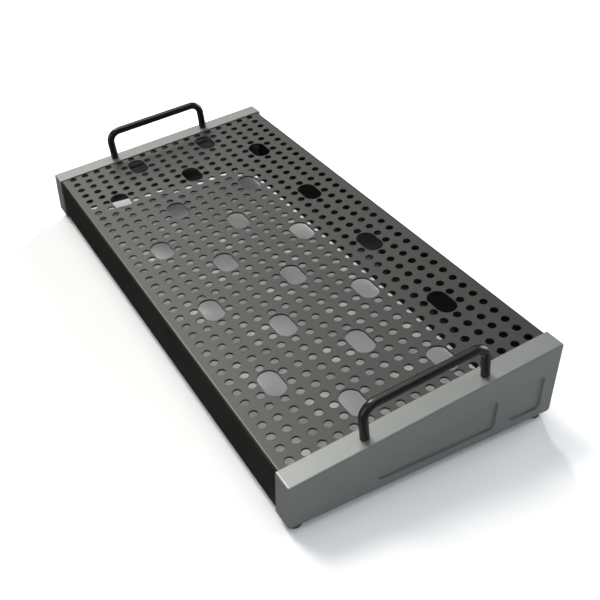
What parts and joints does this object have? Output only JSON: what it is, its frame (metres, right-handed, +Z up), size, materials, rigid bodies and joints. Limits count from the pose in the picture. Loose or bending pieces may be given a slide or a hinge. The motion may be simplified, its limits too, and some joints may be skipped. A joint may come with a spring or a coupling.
{
  "type": "perforated instrument tray",
  "caption": "Wedge-shaped perforated tray with an open underside, hollow end caps, bail handles and feet; carries effects pedals, modules or instruments.",
  "frame": {"origin": "on the surface the feet stand on, under the middle of the tray's bounding box", "axes": "+X along the length to the right end, +Y from the low front to the tall back, +Z up"},
  "size_m": [0.6142, 0.2892, 0.1191],
  "materials": {
    "black_sheet": "black powder coat, satin, fine texture",
    "cap_grey": "light grey satin paint",
    "handle_black": "black satin paint with a soft sheen",
    "foot_rubber": "dark grey moulded rubber",
    "zinc_steel": "zinc plated steel",
    "stiffener_plate": "mid grey primer"
  },
  "bodies": {
    "root": {"perforated_sheet": "black_sheet", "back_stiffener": "stiffener_plate", "end_cap_left": "cap_grey", "handle_left": "handle_black", "handle_washer_left_front": "zinc_steel", "handle_screw_left_front": "zinc_steel", "foot_left_front": "foot_rubber", "foot_screw_left_front": "zinc_steel", "lip_screw_left_front": "zinc_steel", "handle_washer_left_back": "zinc_steel", "handle_screw_left_back": "zinc_steel", "foot_left_back": "foot_rubber", "foot_screw_left_back": "zinc_steel", "lip_screw_left_back": "zinc_steel", "end_cap_right": "cap_grey", "handle_right": "handle_black", "handle_washer_right_front": "zinc_steel", "handle_screw_right_front": "zinc_steel", "foot_right_front": "foot_rubber", "foot_screw_right_front": "zinc_steel", "lip_screw_right_front": "zinc_steel", "handle_washer_right_back": "zinc_steel", "handle_screw_right_back": "zinc_steel", "foot_right_back": "foot_rubber", "foot_screw_right_back": "zinc_steel", "lip_screw_right_back": "zinc_steel"}
  },
  "joints": []
}
